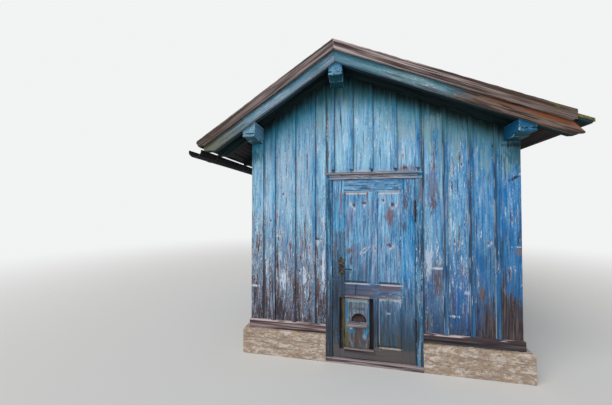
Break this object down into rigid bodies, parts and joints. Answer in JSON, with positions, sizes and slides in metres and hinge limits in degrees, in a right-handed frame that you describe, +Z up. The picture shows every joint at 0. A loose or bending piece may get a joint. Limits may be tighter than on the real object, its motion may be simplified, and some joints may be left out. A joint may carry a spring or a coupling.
{
  "type": "small board and batten hut",
  "caption": "Small painted timber hut of upright boards and battens on a low plinth, with an uneven gable roof, a hinged panelled door with a lever and a gutter along its left eave.",
  "frame": {"origin": "on the ground in the middle of the walls, under the floor slab", "axes": "+Z up, +X to the right along the front wall, +Y from the front wall with the door to the rear wall"},
  "size_m": [3.831, 3.67, 3.3649],
  "materials": {
    "painted_timber": "worn blue oil paint on boards",
    "bare_timber": "bare, greyed",
    "weathered_plank": "bare, deeply weathered",
    "tarred_timber": "tarred, rough",
    "roofing_felt": "gritted bitumen felt with moss",
    "concrete": "rough cast, stained",
    "forged_iron": "rusted"
  },
  "bodies": {
    "house": {"plinth_sides": "concrete", "plinth_ends": "concrete", "floor_slab": "concrete", "threshold": "bare_timber", "sill_beams_sides": "bare_timber", "sill_beams_ends": "bare_timber", "wall_posts": "bare_timber", "wall_rails": "bare_timber", "wall_plate_left": "painted_timber", "wall_plate_right": "painted_timber", "ridge_beam": "painted_timber", "front_wall_left": "painted_timber", "front_wall_right": "painted_timber", "front_wall_over_door": "painted_timber", "left_wall": "painted_timber", "right_wall": "painted_timber", "rear_wall": "painted_timber", "battens_front": "painted_timber", "battens_sides": "painted_timber", "battens_rear": "painted_timber", "corner_boards": "painted_timber", "rafters_left": "bare_timber", "rafters_right": "bare_timber", "roof_boards_left": "bare_timber", "roof_boards_right": "bare_timber", "roofing_left": "roofing_felt", "roofing_right": "roofing_felt", "barge_boards_left": "painted_timber", "barge_boards_right": "painted_timber", "verge_planks_left": "weathered_plank", "verge_planks_right": "weathered_plank", "gutter": "tarred_timber", "gutter_brackets": "forged_iron", "door_frame_posts": "painted_timber", "door_frame_head": "painted_timber", "door_cornice": "painted_timber", "hinge_pins": "forged_iron"},
    "door": {"door_stiles": "painted_timber", "door_rails": "painted_timber", "door_muntins": "painted_timber", "door_panels": "painted_timber", "door_patch_board": "painted_timber", "door_patch_backing": "bare_timber", "door_patch_ledges": "painted_timber", "lock_plates": "forged_iron", "hinge_knuckles": "forged_iron"},
    "handle": {"lever_handle": "forged_iron"}
  },
  "joints": [
    {"name": "door_hinge", "type": "hinge", "parent": "house", "child": "door", "pos_m": [0.4135, -1.5355, 0], "axis": [0, 0, 1], "range_deg": [0, 110]},
    {"name": "handle_turn", "type": "hinge", "parent": "door", "child": "handle", "pos_m": [-0.348, -1.497, 1.017], "axis": [0, 1, 0], "range_deg": [0, 35], "stiffness_Nm_per_rad": 0.8, "springref_deg": -40.11}
  ]
}
